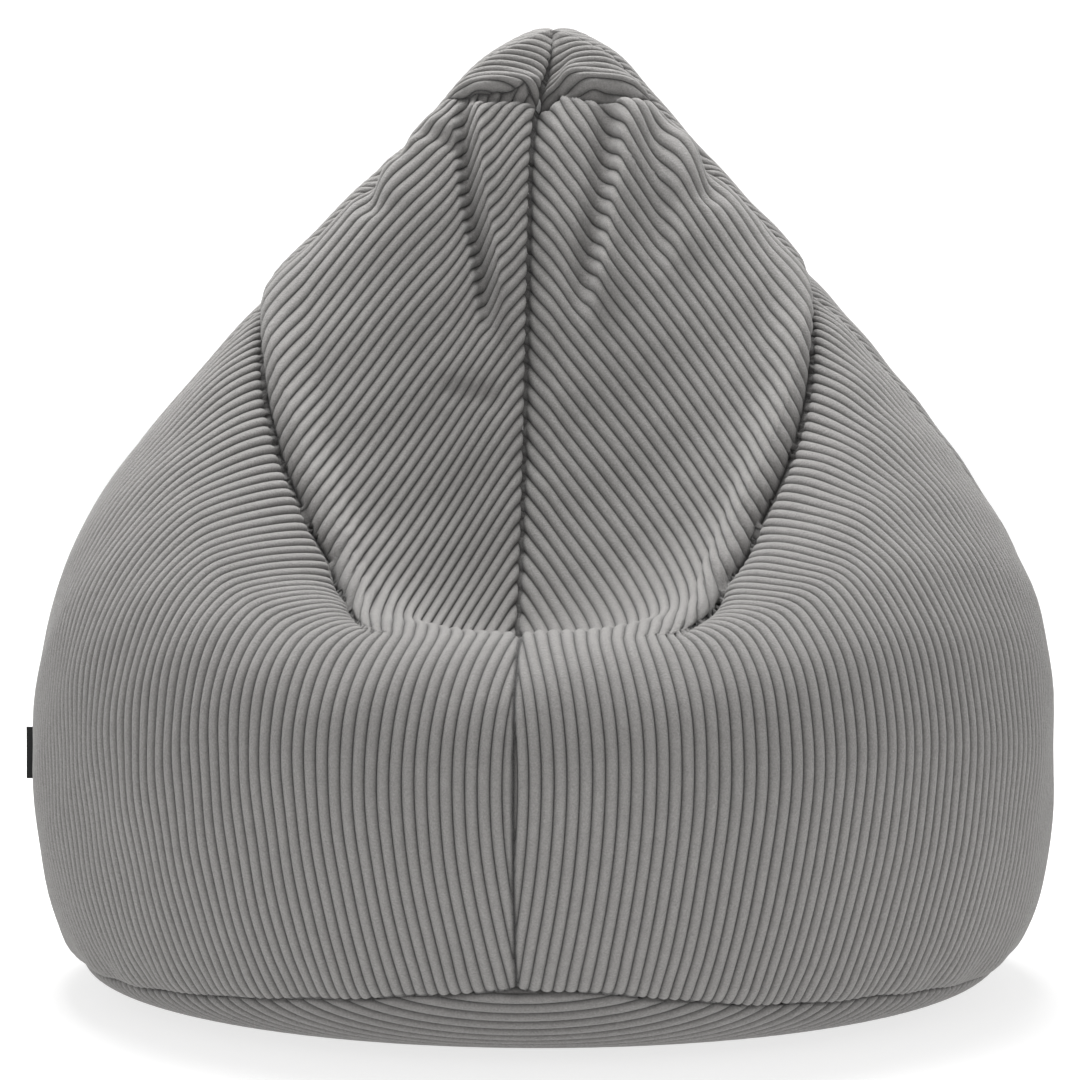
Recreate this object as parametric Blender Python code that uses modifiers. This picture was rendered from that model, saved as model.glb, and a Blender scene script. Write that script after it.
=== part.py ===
"""Bean bag chair with a high back: a corduroy cover with a zip, an inner liner with its own zip, and the fill.

Metres, +Z up. The sitter faces -Y, and left means the -X side, which is on the left seen from the front.
The origin is on the floor, under the middle of the object's box.
"""

import math

import bmesh
import bpy
import numpy as np
from mathutils import Matrix, Vector

# ---- The padded form ----
# Control rings of a cubic B-spline loft, from the middle of the underside up over the seat to the tip:
# half width, front y, side y, back y, front z, side z, back z.
# Up to the sixth ring the rear half is round about the vertical line at AXIS_Y, which the zip follows.
AXIS_Y = 0.010
TIP_Y = 0.275
RINGS = [
    (0.000, AXIS_Y, AXIS_Y, AXIS_Y, 0.000, 0.000, 0.000),
    (0.135, AXIS_Y - 0.135, AXIS_Y, AXIS_Y + 0.135, 0.000, 0.000, 0.000),
    (0.270, AXIS_Y - 0.270, AXIS_Y, AXIS_Y + 0.270, 0.000, 0.000, 0.000),
    (0.396, AXIS_Y - 0.403, AXIS_Y, AXIS_Y + 0.396, 0.001, 0.001, 0.001),
    (0.437, AXIS_Y - 0.447, AXIS_Y, AXIS_Y + 0.437, 0.054, 0.022, 0.022),
    (0.464, AXIS_Y - 0.480, AXIS_Y, AXIS_Y + 0.464, 0.125, 0.095, 0.095),
    (0.474, AXIS_Y - 0.500, AXIS_Y, AXIS_Y + 0.474, 0.210, 0.205, 0.205),
    (0.466, -0.485, 0.010, 0.480, 0.297, 0.325, 0.345),
    (0.431, -0.425, 0.020, 0.465, 0.351, 0.425, 0.475),
    (0.370, -0.325, 0.050, 0.440, 0.363, 0.510, 0.590),
    (0.308, -0.200, 0.090, 0.410, 0.320, 0.585, 0.680),
    (0.254, -0.080, 0.130, 0.385, 0.306, 0.652, 0.755),
    (0.202, 0.020, 0.165, 0.365, 0.425, 0.712, 0.810),
    (0.145, 0.085, 0.195, 0.350, 0.570, 0.768, 0.850),
    (0.100, 0.140, 0.222, 0.335, 0.690, 0.818, 0.875),
    (0.068, 0.190, 0.250, 0.320, 0.800, 0.860, 0.885),
    (0.000, TIP_Y, TIP_Y, TIP_Y, 0.890, 0.890, 0.890),
]
TURN_STEPS = 24         # control points round each ring
SEAM_ROW = 4            # the base seam runs along this ring
CAP_ROW = 1             # inside this ring the underside is one flat face
TOP_ROW = 15.6          # the panels end here, round the gathered tip

# ---- Mesh density ----
COLUMNS = 28            # once round the form
BODY_STEPS = 17         # from the base seam to the tip
BASE_STEPS = 4          # from the flat face to the base seam

# ---- Fabric layers: thickness, and depth of the layer's outer face under the form ----
COVER_THICKNESS = 0.003
CARE_LABEL_THICKNESS = 0.0004
CARE_LABEL_DEPTH = 0.0065
LINER_THICKNESS = 0.0008
LINER_DEPTH = 0.0095
FILL_DEPTH = 0.0150
SEAM_SETBACK = 0.0014   # each panel's free edge stops this far short of its seam line

# ---- Cover zip, along the rear of the base seam ----
ZIP_HALF_OPENING = 0.006
ZIP_OPEN_COLUMNS = 3    # columns each side of the back middle where the hems stand apart
ZIP_HALF_ANGLE = math.radians(38.4)
COIL_HALF_ANGLE = math.radians(37.6)
SLIDER_ANGLE = math.radians(36.0)
TAPE_EDGES = (0.0002, 0.0056)
TAPE_OUT = (-0.0028, -0.0020)
COIL_RADIUS = 0.0009
COIL_ACROSS = 0.00115
COIL_OUT = -0.00075
COIL_SIDES = 8
ARC_STEPS = 26
STOP_LENGTH = 0.0025
STOP_GAP = 0.0010

# Slider: a body with a channel over both coils, and an eye on top that holds the pull tab.
SLIDER_LENGTH = 0.0120
SLIDER_WIDTH = 0.0084
SLIDER_OUT = (-0.0014, 0.0017)
CHANNEL_WIDTH = 0.0058
CHANNEL_TOP = 0.00055
EYE_LENGTH = 0.0070
EYE_WIDTH = 0.0020
EYE_TOP = 0.0049
EYE_HOLE_LENGTH = 0.0044
EYE_HOLE_OUT = (0.0018, 0.0039)
TAB_PIVOT_OUT = 0.00285
TAB_BAR = 0.0010
TAB_WIDTH = 0.0062
TAB_LENGTH = 0.0240
TAB_HOLE_WIDTH = 0.0028
TAB_HOLE_END = 0.0050
EDGE_BEVEL = 0.0002

# ---- Liner zip, straight across the underside of the liner ----
LINER_ZIP_Y = 0.200
LINER_ZIP_HALF_LENGTH = 0.180
LINER_SLOT_WIDTH = 0.010
LINER_TAPE_WIDTH = 0.0100
LINER_TAPE_Z = (0.0082, 0.0088)
LINER_COIL_Z = 0.0070
LINER_SLIDER_LENGTH = 0.010
LINER_SLIDER_Z = (0.0042, 0.0076)
LINER_CHANNEL_TOP = 0.0054

# ---- Labels ----
SIDE_LABEL_ROW = 6.0
SIDE_LABEL_SIZE = (0.0115, 0.0012, 0.048)
SIDE_LABEL_GAP = 0.0006
CARE_LABEL_HALF_TURN = 0.0055
CARE_LABEL_ROWS = (5.9, 6.4)

BACK_TURN = 0.5         # turns count from the front middle towards +X
PROBE = 1e-4

COLOURS = {
    "corduroy": ((0.220, 0.212, 0.205), 0.90, 0.0),
    "corduroy_base": ((0.200, 0.194, 0.188), 0.90, 0.0),
    "liner_cloth": ((0.780, 0.780, 0.770), 0.85, 0.0),
    "beads": ((0.900, 0.900, 0.890), 0.60, 0.0),
    "zip_tape": ((0.120, 0.118, 0.115), 0.85, 0.0),
    "zip_coil": ((0.100, 0.100, 0.100), 0.45, 0.0),
    "zip_metal": ((0.300, 0.300, 0.310), 0.35, 1.0),
    "label_black": ((0.015, 0.015, 0.016), 0.70, 0.0),
    "label_white": ((0.850, 0.850, 0.840), 0.75, 0.0),
}


# ---- Scene and materials ----

def clear_scene():
    for obj in list(bpy.data.objects):
        bpy.data.objects.remove(obj, do_unlink=True)


def new_collection(name):
    collection = bpy.data.collections.new(name)
    bpy.context.scene.collection.children.link(collection)
    return collection


def make_material(name):
    colour, roughness, metallic = COLOURS[name]
    material = bpy.data.materials.new(name)
    material.use_nodes = True
    shader = material.node_tree.nodes["Principled BSDF"]
    shader.inputs["Base Color"].default_value = (*colour, 1.0)
    shader.inputs["Roughness"].default_value = roughness
    shader.inputs["Metallic"].default_value = metallic
    material.diffuse_color = (*colour, 1.0)
    return material


def add_object(name, mesh_data, material=None, place=None):
    """An object of the part, or a hidden cutter where no material is given."""
    mesh = bpy.data.meshes.new(name)
    mesh_data.to_mesh(mesh)
    mesh_data.free()
    obj = bpy.data.objects.new(name, mesh)
    if place is not None:
        obj.matrix_world = place
    if material is None:
        HELPERS.objects.link(obj)
        obj.hide_render = True
        obj.display_type = "WIRE"
    else:
        PART.objects.link(obj)
        mesh.materials.append(MATERIALS[material])
    return obj


def add_boolean(obj, operation, other):
    cut = obj.modifiers.new(other.name, "BOOLEAN")
    cut.operation = operation
    cut.object = other


def add_bevel(obj):
    bevel = obj.modifiers.new("edges", "BEVEL")
    bevel.width = EDGE_BEVEL
    bevel.segments = 1


# ---- The form's surface ----

def ring_points(ring):
    """One control ring: its front and back halves are half ellipses that meet at the sides."""
    half_width, front_y, side_y, back_y, front_z, side_z, back_z = ring
    angle = np.arange(TURN_STEPS) * 2 * np.pi / TURN_STEPS
    forward = np.cos(angle)
    end_y = np.where(forward > 0, front_y, back_y)
    end_z = np.where(forward > 0, front_z, back_z)
    x = half_width * np.sin(angle)
    y = side_y + (end_y - side_y) * np.abs(forward)
    z = side_z + (end_z - side_z) * forward**2
    return np.stack([x, y, z], axis=1)


def control_cage():
    """The rings, with one more past each pole: the neighbouring ring turned half round."""
    cage = np.stack([ring_points(ring) for ring in RINGS])
    below = np.roll(cage[1], TURN_STEPS // 2, axis=0)
    above = np.roll(cage[-2], TURN_STEPS // 2, axis=0)
    return np.concatenate([below[None], cage, above[None]])


def spline_weights(t):
    """The four uniform cubic B-spline weights at t from 0 to 1."""
    return [(1 - t) ** 3 / 6, (3 * t**3 - 6 * t**2 + 4) / 6, (-3 * t**3 + 3 * t**2 + 3 * t + 1) / 6, t**3 / 6]


def form_points(turns, rows):
    """Points on the form. turns run once round from the front middle towards +X, rows from underside to tip."""
    turns, rows = np.broadcast_arrays(turns, rows)
    column = np.floor(turns * TURN_STEPS).astype(int)
    row = np.clip(np.floor(rows).astype(int), 0, len(RINGS) - 2)
    across = spline_weights(turns * TURN_STEPS - column)
    along = spline_weights(rows - row)
    points = np.zeros(turns.shape + (3,))
    for j in range(4):
        for i in range(4):
            weight = (along[j] * across[i])[..., None]
            points += weight * CAGE[row + j, (column + i - 1) % TURN_STEPS]
    return points


def form_normals(turns, rows):
    round_the_form = form_points(turns + PROBE, rows) - form_points(turns - PROBE, rows)
    up_the_form = form_points(turns, rows + PROBE) - form_points(turns, rows - PROBE)
    normals = np.cross(round_the_form, up_the_form)
    return normals / np.linalg.norm(normals, axis=-1, keepdims=True)


def form_at_depth(turns, rows, depth):
    return form_points(turns, rows) - depth * form_normals(turns, rows)


# ---- Fabric panels ----

def set_back(lines):
    """Pulls the first and last line of points towards their neighbours, which leaves the seam's gap."""
    for edge, inner in ((0, 1), (-1, -2)):
        step = lines[inner] - lines[edge]
        lines[edge] += SEAM_SETBACK * step / np.linalg.norm(step, axis=-1, keepdims=True)


def loft_mesh(grid, around=False, low_cap=False, high_cap=False):
    """Quads through a grid of points, joined round its ends if it goes all the way, with flat caps if asked."""
    mesh = bmesh.new()
    lines = [[mesh.verts.new(point) for point in line] for line in grid]
    count = len(lines[0])
    spans = count if around else count - 1
    for low, high in zip(lines, lines[1:]):
        for i in range(spans):
            j = (i + 1) % count
            mesh.faces.new((low[i], low[j], high[j], high[i]))
    if low_cap:
        mesh.faces.new(lines[0][::-1])
    if high_cap:
        mesh.faces.new(lines[-1])
    return mesh


def add_fabric(name, mesh_data, thickness, material):
    """A panel: its surface is the outer face, and the cloth's thickness goes inwards."""
    panel = add_object(name, mesh_data, material)
    solid = panel.modifiers.new("cloth", "SOLIDIFY")
    solid.thickness = thickness
    solid.offset = -1
    panel.data.shade_smooth()
    return panel


def hem_rows(turns, side):
    """The row where a cover panel ends at the base seam: off the seam line by half the zip's opening at the zip."""
    row_length = np.linalg.norm(form_points(BACK_TURN, SEAM_ROW + 0.5) - form_points(BACK_TURN, SEAM_ROW - 0.5))
    reach = (ZIP_OPEN_COLUMNS + 0.5) / COLUMNS
    at_zip = np.abs(turns - BACK_TURN) < reach
    return SEAM_ROW + side * at_zip * ZIP_HALF_OPENING / row_length


def body_rows(hem, steps, top):
    share = np.linspace(0, 1, steps + 1)[:, None]
    return hem * (1 - share) + top * share


def side_panel(name, start, end, depth, thickness, material, with_zip):
    """A panel from the base seam to the tip, between two turns."""
    turns = np.linspace(start, end, round((end - start) * COLUMNS) + 1)
    hem = hem_rows(turns, 1) if with_zip else np.full(turns.shape, float(SEAM_ROW))
    grid = form_at_depth(turns[None], body_rows(hem, BODY_STEPS, TOP_ROW), depth)
    set_back(grid)
    set_back(grid.swapaxes(0, 1))
    return add_fabric(name, loft_mesh(grid), thickness, material)


def base_panel(name, depth, thickness, material, with_zip):
    """The round panel under the object, with a flat face in its middle."""
    turns = np.arange(COLUMNS) / COLUMNS
    hem = hem_rows(turns, -1) if with_zip else np.full(turns.shape, float(SEAM_ROW))
    share = np.linspace(0, 1, BASE_STEPS + 1)[:, None]
    grid = form_at_depth(turns[None], CAP_ROW * (1 - share) + hem * share, depth)
    middle = grid[0].copy()
    set_back(grid)
    grid[0] = middle
    return add_fabric(name, loft_mesh(grid, around=True, low_cap=True), thickness, material)


def make_cover():
    for name, start in (("front_right", 0.0), ("back_right", 0.25), ("back_left", 0.5), ("front_left", 0.75)):
        side_panel(name + "_panel", start, start + 0.25, 0.0, COVER_THICKNESS, "corduroy", with_zip=True)
    base_panel("base_panel", 0.0, COVER_THICKNESS, "corduroy_base", with_zip=True)


def make_liner():
    for name, start in (("liner_front_panel", -0.25), ("liner_back_panel", 0.25)):
        side_panel(name, start, start + 0.5, LINER_DEPTH, LINER_THICKNESS, "liner_cloth", with_zip=False)
    base = base_panel("liner_base_panel", LINER_DEPTH, LINER_THICKNESS, "liner_cloth", with_zip=False)
    reach = LINER_ZIP_HALF_LENGTH
    half_width = LINER_SLOT_WIDTH / 2
    place = Matrix.Translation((0, LINER_ZIP_Y, LINER_DEPTH))
    slot = box("liner_slot", (-reach, -half_width, -LINER_DEPTH), (reach, half_width, LINER_DEPTH), place=place)
    add_boolean(base, "DIFFERENCE", slot)


def make_fill():
    """The bead fill as one soft solid, flat underneath, which ends one row short of the gathered tip."""
    turns = np.arange(COLUMNS) / COLUMNS
    low = np.linspace(CAP_ROW, SEAM_ROW, BASE_STEPS + 1)[:-1, None] * np.ones(COLUMNS)
    high = body_rows(np.full(COLUMNS, float(SEAM_ROW)), BODY_STEPS, TOP_ROW)[:-1]
    grid = form_at_depth(turns[None], np.concatenate([low, high]), FILL_DEPTH)
    fill = add_object("bead_fill", loft_mesh(grid, around=True, low_cap=True, high_cap=True), "beads")
    fill.data.shade_smooth()


# ---- Small solids ----

def box(name, low, high, material=None, place=None):
    mesh = bmesh.new()
    bmesh.ops.create_cube(mesh, size=1.0)
    low, high = Vector(low), Vector(high)
    bmesh.ops.scale(mesh, vec=high - low, verts=mesh.verts)
    bmesh.ops.translate(mesh, vec=(high + low) / 2, verts=mesh.verts)
    return add_object(name, mesh, material, place)


# ---- The cover's zip: everything on it is placed in a frame that slides round the seam ----

def seam_frame(angle):
    """Place on the rear base seam, at an angle from the back middle towards +X.

    X runs along the seam in the way the slider opens, Y up across the seam in the cloth, Z out of the cloth.
    """
    point = form_points(BACK_TURN, SEAM_ROW)
    across = form_points(BACK_TURN, SEAM_ROW + PROBE) - form_points(BACK_TURN, SEAM_ROW - PROBE)
    across = Vector(across).normalized()
    along = Vector((-1, 0, 0))
    out = along.cross(across)
    axes = Matrix((along, across, out)).transposed().to_4x4()
    back = Matrix.Translation((0, point[1] - AXIS_Y, point[2])) @ axes
    return Matrix.Translation((0, AXIS_Y, 0)) @ Matrix.Rotation(-angle, 4, "Z") @ back


def seam_arc(name, outline, half_angle, material):
    """A strip round the seam: an outline of (across, out) points, spun about the form's axis."""
    start = seam_frame(half_angle)
    mesh = bmesh.new()
    face = mesh.faces.new([mesh.verts.new(start @ Vector((0, across, out))) for across, out in outline])
    bmesh.ops.spin(mesh, geom=[face], cent=(0, AXIS_Y, 0), axis=(0, 0, 1), angle=2 * half_angle, steps=ARC_STEPS)
    bmesh.ops.recalc_face_normals(mesh, faces=mesh.faces)
    return add_object(name, mesh, material)


def make_zip_tapes_and_coils():
    inner, outer = TAPE_EDGES
    for name, side in (("upper", 1), ("lower", -1)):
        tape = [(side * across, out) for out in TAPE_OUT for across in (inner, outer)]
        tape[2], tape[3] = tape[3], tape[2]
        seam_arc(f"zip_{name}_tape", tape, ZIP_HALF_ANGLE, "zip_tape")
        corners = [2 * math.pi * (i + 0.5) / COIL_SIDES for i in range(COIL_SIDES)]
        middle = side * COIL_ACROSS
        coil = [(middle + COIL_RADIUS * math.cos(a), COIL_OUT + COIL_RADIUS * math.sin(a)) for a in corners]
        seam_arc(f"zip_{name}_coil", coil, COIL_HALF_ANGLE - 2 * STOP_GAP - STOP_LENGTH, "zip_coil")


def make_zip_stops():
    """Two top stops where the closed slider rests, and one bottom stop across both coils."""
    low_out, high_out = COIL_OUT - COIL_RADIUS, COIL_OUT + COIL_RADIUS
    reach = COIL_ACROSS + COIL_RADIUS
    half = STOP_LENGTH / 2
    gap = COIL_ACROSS - COIL_RADIUS
    closed_end = seam_frame(COIL_HALF_ANGLE)
    open_end = seam_frame(-COIL_HALF_ANGLE)
    box("zip_top_stop_upper", (-half, gap, low_out), (half, reach, high_out), "zip_metal", closed_end)
    box("zip_top_stop_lower", (-half, -reach, low_out), (half, -gap, high_out), "zip_metal", closed_end)
    box("zip_bottom_stop", (-half, -reach, low_out), (half, reach, high_out), "zip_metal", open_end)


def make_zip_slider():
    place = seam_frame(SLIDER_ANGLE)
    half_length, half_width = SLIDER_LENGTH / 2, SLIDER_WIDTH / 2
    slider = box("zip_slider", (-half_length, -half_width, SLIDER_OUT[0]), (half_length, half_width, SLIDER_OUT[1]),
                 "zip_metal", place)
    channel = box("slider_channel", (-SLIDER_LENGTH, -CHANNEL_WIDTH / 2, 2 * SLIDER_OUT[0]),
                  (SLIDER_LENGTH, CHANNEL_WIDTH / 2, CHANNEL_TOP), place=place)
    eye = box("slider_eye", (-EYE_LENGTH / 2, -EYE_WIDTH / 2, SLIDER_OUT[1] - EYE_WIDTH / 4),
              (EYE_LENGTH / 2, EYE_WIDTH / 2, EYE_TOP), place=place)
    hole = box("slider_eye_hole", (-EYE_HOLE_LENGTH / 2, -EYE_WIDTH, EYE_HOLE_OUT[0]),
               (EYE_HOLE_LENGTH / 2, EYE_WIDTH, EYE_HOLE_OUT[1]), place=place)
    add_boolean(slider, "DIFFERENCE", channel)
    add_boolean(slider, "UNION", eye)
    add_boolean(slider, "DIFFERENCE", hole)
    add_bevel(slider)


def make_zip_pull_tab():
    """A flat tab whose end bar passes through the slider's eye. Its origin is on the bar's middle line."""
    place = seam_frame(SLIDER_ANGLE) @ Matrix.Translation((0, 0, TAB_PIVOT_OUT))
    half_bar = TAB_BAR / 2
    tab = box("zip_pull_tab", (-half_bar, -TAB_WIDTH / 2, -half_bar), (half_bar, TAB_WIDTH / 2, TAB_LENGTH),
              "zip_metal", place)
    hole = box("tab_hole", (-TAB_BAR, -TAB_HOLE_WIDTH / 2, half_bar), (TAB_BAR, TAB_HOLE_WIDTH / 2, TAB_HOLE_END),
               place=place)
    add_boolean(tab, "DIFFERENCE", hole)
    add_bevel(tab)


# ---- The liner's zip ----

def make_liner_zip():
    middle = Matrix.Translation((0, LINER_ZIP_Y, 0))
    reach = LINER_ZIP_HALF_LENGTH
    for name, side in (("front", -1), ("rear", 1)):
        near, far = sorted((side * TAPE_EDGES[0], side * LINER_TAPE_WIDTH))
        low, high = (-reach, near, LINER_TAPE_Z[0]), (reach, far, LINER_TAPE_Z[1])
        box(f"liner_zip_{name}_tape", low, high, "zip_tape", middle)
        mesh = bmesh.new()
        turned = Matrix.Translation((0, side * COIL_ACROSS, LINER_COIL_Z)) @ Matrix.Rotation(math.pi / 2, 4, "Y")
        coil_length = 2 * (reach - 2 * STOP_GAP - STOP_LENGTH)
        bmesh.ops.create_cone(mesh, cap_ends=True, segments=COIL_SIDES, radius1=COIL_RADIUS, radius2=COIL_RADIUS,
                              depth=coil_length, matrix=turned)
        add_object(f"liner_zip_{name}_coil", mesh, "zip_coil", middle)
    stop_reach = COIL_ACROSS + COIL_RADIUS
    low = (-STOP_LENGTH / 2, -stop_reach, LINER_COIL_Z - COIL_RADIUS)
    high = (STOP_LENGTH / 2, stop_reach, LINER_COIL_Z + COIL_RADIUS)
    for name, side in (("left", -1), ("right", 1)):
        end = middle @ Matrix.Translation((side * (reach - STOP_LENGTH / 2), 0, 0))
        box(f"liner_zip_{name}_stop", low, high, "zip_metal", end)
    closed_x = reach - STOP_LENGTH - 2 * STOP_GAP - LINER_SLIDER_LENGTH / 2
    place = middle @ Matrix.Translation((closed_x, 0, 0))
    half_length, half_width = LINER_SLIDER_LENGTH / 2, SLIDER_WIDTH / 2
    slider = box("liner_zip_slider", (-half_length, -half_width, LINER_SLIDER_Z[0]),
                 (half_length, half_width, LINER_SLIDER_Z[1]), "zip_metal", place)
    channel = box("liner_slider_channel", (-LINER_SLIDER_LENGTH, -CHANNEL_WIDTH / 2, LINER_CHANNEL_TOP),
                  (LINER_SLIDER_LENGTH, CHANNEL_WIDTH / 2, LINER_DEPTH), place=place)
    add_boolean(slider, "DIFFERENCE", channel)
    add_bevel(slider)


# ---- Labels ----

def make_labels():
    """A plain folded tag that stands out of the left side seam, and a care label inside the back."""
    length, thickness, height = SIDE_LABEL_SIZE
    root = form_points(0.75, SIDE_LABEL_ROW)
    edge = -SIDE_LABEL_GAP
    box("side_label", (edge - length, -thickness / 2, -height / 2), (edge, thickness / 2, height / 2), "label_black",
        Matrix.Translation(root))
    turns = BACK_TURN + np.linspace(-1, 1, 3) * CARE_LABEL_HALF_TURN
    rows = np.linspace(*CARE_LABEL_ROWS, 3)[:, None]
    grid = form_at_depth(turns[None], rows, CARE_LABEL_DEPTH)
    add_fabric("care_label", loft_mesh(grid), CARE_LABEL_THICKNESS, "label_white")


clear_scene()
PART = new_collection("bean_bag_chair")
HELPERS = new_collection("cutters")
HELPERS.hide_render = True
MATERIALS = {name: make_material(name) for name in COLOURS}
CAGE = control_cage()
make_cover()
make_liner()
make_fill()
make_zip_tapes_and_coils()
make_zip_stops()
make_zip_slider()
make_zip_pull_tab()
make_liner_zip()
make_labels()
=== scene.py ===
"""Bean bag chair: the ribbed corduroy cover, its zip and label, and a plain studio round them.

Metres, +Z up. The sitter faces -Y, and left means the -X side, which is on the left seen from the front.
The form is a loft with two coordinates: turn runs once round it from the front middle towards +X, and row
runs from the middle of the underside (0) over the base seam (4) and the seat to the tip (16).
"""

import math

import bmesh
import bpy
import numpy as np
from mathutils import Matrix, Vector


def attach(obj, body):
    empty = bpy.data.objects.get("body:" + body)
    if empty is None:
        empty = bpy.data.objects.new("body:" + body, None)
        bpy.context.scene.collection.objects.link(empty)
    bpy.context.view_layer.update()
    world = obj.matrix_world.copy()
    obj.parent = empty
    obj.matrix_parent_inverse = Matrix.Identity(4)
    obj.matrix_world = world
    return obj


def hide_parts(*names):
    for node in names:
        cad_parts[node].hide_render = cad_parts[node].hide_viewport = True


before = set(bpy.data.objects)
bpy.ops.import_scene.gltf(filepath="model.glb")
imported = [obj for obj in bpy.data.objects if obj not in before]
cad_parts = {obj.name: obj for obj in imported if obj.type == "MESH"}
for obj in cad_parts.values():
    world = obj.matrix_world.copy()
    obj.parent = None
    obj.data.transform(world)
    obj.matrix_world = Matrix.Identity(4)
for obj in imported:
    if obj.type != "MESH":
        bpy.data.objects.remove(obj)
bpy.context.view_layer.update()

# ---- The form: the CAD's control rings ----
# half width, front y, side y, back y, front z, side z, back z
AXIS_Y = 0.010
TIP_Y = 0.275
RINGS = [
    (0.000, AXIS_Y, AXIS_Y, AXIS_Y, 0.000, 0.000, 0.000),
    (0.135, AXIS_Y - 0.135, AXIS_Y, AXIS_Y + 0.135, 0.000, 0.000, 0.000),
    (0.270, AXIS_Y - 0.270, AXIS_Y, AXIS_Y + 0.270, 0.000, 0.000, 0.000),
    (0.396, AXIS_Y - 0.403, AXIS_Y, AXIS_Y + 0.396, 0.001, 0.001, 0.001),
    (0.437, AXIS_Y - 0.447, AXIS_Y, AXIS_Y + 0.437, 0.054, 0.022, 0.022),
    (0.464, AXIS_Y - 0.480, AXIS_Y, AXIS_Y + 0.464, 0.125, 0.095, 0.095),
    (0.474, AXIS_Y - 0.500, AXIS_Y, AXIS_Y + 0.474, 0.210, 0.205, 0.205),
    (0.466, -0.485, 0.010, 0.480, 0.297, 0.325, 0.345),
    (0.431, -0.425, 0.020, 0.465, 0.351, 0.425, 0.475),
    (0.370, -0.325, 0.050, 0.440, 0.363, 0.510, 0.590),
    (0.308, -0.200, 0.090, 0.410, 0.320, 0.585, 0.680),
    (0.254, -0.080, 0.130, 0.385, 0.306, 0.652, 0.755),
    (0.202, 0.020, 0.165, 0.365, 0.425, 0.712, 0.810),
    (0.145, 0.085, 0.195, 0.350, 0.570, 0.768, 0.850),
    (0.100, 0.140, 0.222, 0.335, 0.690, 0.818, 0.875),
    (0.068, 0.190, 0.250, 0.320, 0.800, 0.860, 0.885),
    (0.000, TIP_Y, TIP_Y, TIP_Y, 0.890, 0.890, 0.890),
]
TURN_STEPS = 24
SEAM_ROW = 4.0
TOP_ROW = 15.985
PROBE = 1e-4

# ---- Ribs ----
RIB_PITCH = 0.0104
RIB_HEIGHT = 0.0036
RIB_LEVELS = (0.0, 0.09, 0.26, 0.5, 0.74, 0.91)      # places across one rib that get a line of points
RIB_END = 0.005                                       # length over which a rib rounds off at a seam
LEFT_RIB_SHIFT = 0.42                                 # in ribs, so that ribs don't meet at the front seam
SCALLOP = 0.0013                                      # how far a rib's end is shifted at the front seam
SCALLOP_REACH = 0.004                                 # from the seam, on the right panel
BACKREST_RIB_LEAN = math.radians(36)                  # of the ribs' normal above level, seen from the front
BACKREST_RIB_PITCH = 0.0098                           # as seen from the front
ARM_LINE = ((0.05, 8.15), (0.07, 7.95), (0.09, 8.05), (0.12, 8.20), (0.16, 8.90))   # reach and row
ARM_SHARE = 0.65                                      # how fully the ribs above that line turn to the dart
ARM_RIB_LEAN = (math.radians(100), math.radians(82))  # on the arms, by the dart's end and further out
LEFT_SHOULDER_LEAN = math.radians(14)                 # added on the left beside the upper fold
CAP_RIB_LEAN = (math.radians(122), math.radians(55))  # the same on the cap, at its middle and at its edge
CAP_HALF_WIDTH = 0.09
CAP_RIB_DENSITY = 1.2                                 # against the rest, where the cloth is gathered
CAP_EDGE = ((0.00, 15.22), (0.05, 15.26), (0.11, 15.00), (0.15, 14.72), (0.20, 14.25), (0.25, 13.90))
CAP_CUT = 0.26                                        # in turns, up to which the cap is tucked over the back

# ---- Seams ----
SEAM_DRIFT = -0.017                                   # of the front seam on the backrest, to the left
SEAM_DRIFT_WIDTH = 0.085
FRONT_SEAM_DEPTH = (0.004, 0.007, 0.012)              # on the front, more on the backrest, more on its right
RIGHT_SWELL = 0.008                                   # of the right side's lower half
CREST_SAG = 0.009                                     # of the arms' inner ends, behind the seat's front edge
CREST_SAG_AT = (0.080, 9.1)                           # reach in turns, and row
CREST_SAG_SPAN = (0.040, 0.9)
CARE_LABEL_ROOM = 0.0065                              # the cover bulges over the label inside the back seam
CARE_LABEL_ROW = 6.15
SEAM_PULL = 0.009                                     # half the width of a side or back seam's valley
FRONT_SEAM_PULL = 0.0055
SIDE_SEAM_DEPTH = 0.004
BACK_SEAM_DEPTH = 0.005
BASE_SEAM_DEPTH = 0.004
PUCKER_HEIGHT = 0.0015                                # of the puckers above the base seam
SEAM_ALLOWANCE = 0.008
SIDE_SEAM_DIP = 0.16                                  # in rows, of the base seam at the sides
FRONT_SEAM_RISE = 0.12                                # and how far it rises at the front
SEAM_FRONT_REACH = 0.11                               # in turns, over which it goes from one to the other
SEAM_WAVES = ((0.025, 9, 0.6), (0.015, 31, 2.1))      # height in rows, waves in a turn, phase
ZIP_HALF_ANGLE = math.radians(38.6)
ZIP_OPENING = 0.006                                   # from the seam line to each hem
ZIP_END_ANGLE = math.radians(2.0)

# The dart in each front panel, as (turn from the middle, row), from its end over the seat to the side seam.
DARTS = {
    1: ((0.000, 8.30), (0.055, 8.36), (0.070, 8.98), (0.086, 9.65), (0.114, 10.12), (0.150, 10.40),
        (0.194, 10.72), (0.250, 11.00)),
    -1: ((0.000, 8.38), (0.053, 8.42), (0.074, 9.42), (0.096, 9.95), (0.119, 10.15), (0.161, 10.36),
         (0.189, 10.50), (0.250, 10.72)),
}
DART_END = 0.052
DART_RISE = 0.012                                     # of the back over a dart
DART_DEPTH = 0.009                                    # of the valley along it
ARM_DIP = 0.006                                       # of the arm towards it
DART_OVERHANG = 0.006

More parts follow.
